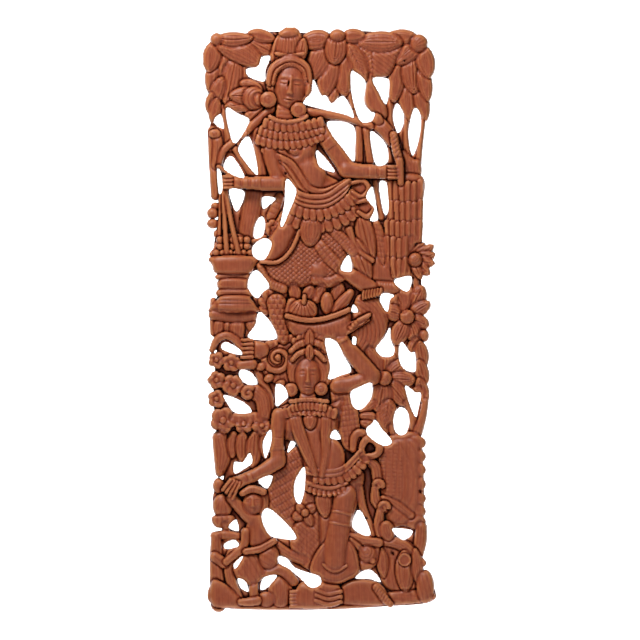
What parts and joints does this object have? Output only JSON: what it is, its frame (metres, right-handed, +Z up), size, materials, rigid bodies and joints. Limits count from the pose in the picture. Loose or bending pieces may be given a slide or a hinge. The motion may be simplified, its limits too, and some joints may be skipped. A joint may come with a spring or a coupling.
{
  "type": "carved wall panel",
  "caption": "Upright pierced hardwood wall panel, deep-relief carved on its front with two women, a child, baskets, fruit bowls, flowers and leaves, flat at the back for hanging",
  "frame": {"origin": "centre of the flat back, halfway up the panel and halfway across it", "axes": "+Z up the panel, +X to the viewer's right when facing the carving, +Y out of the back into the wall, so the carving faces -Y"},
  "size_m": [0.3559, 0.038, 0.8998],
  "materials": {
    "carved_wood": "satin"
  },
  "bodies": {
    "root": {"carved_panel": "carved_wood"}
  },
  "joints": []
}
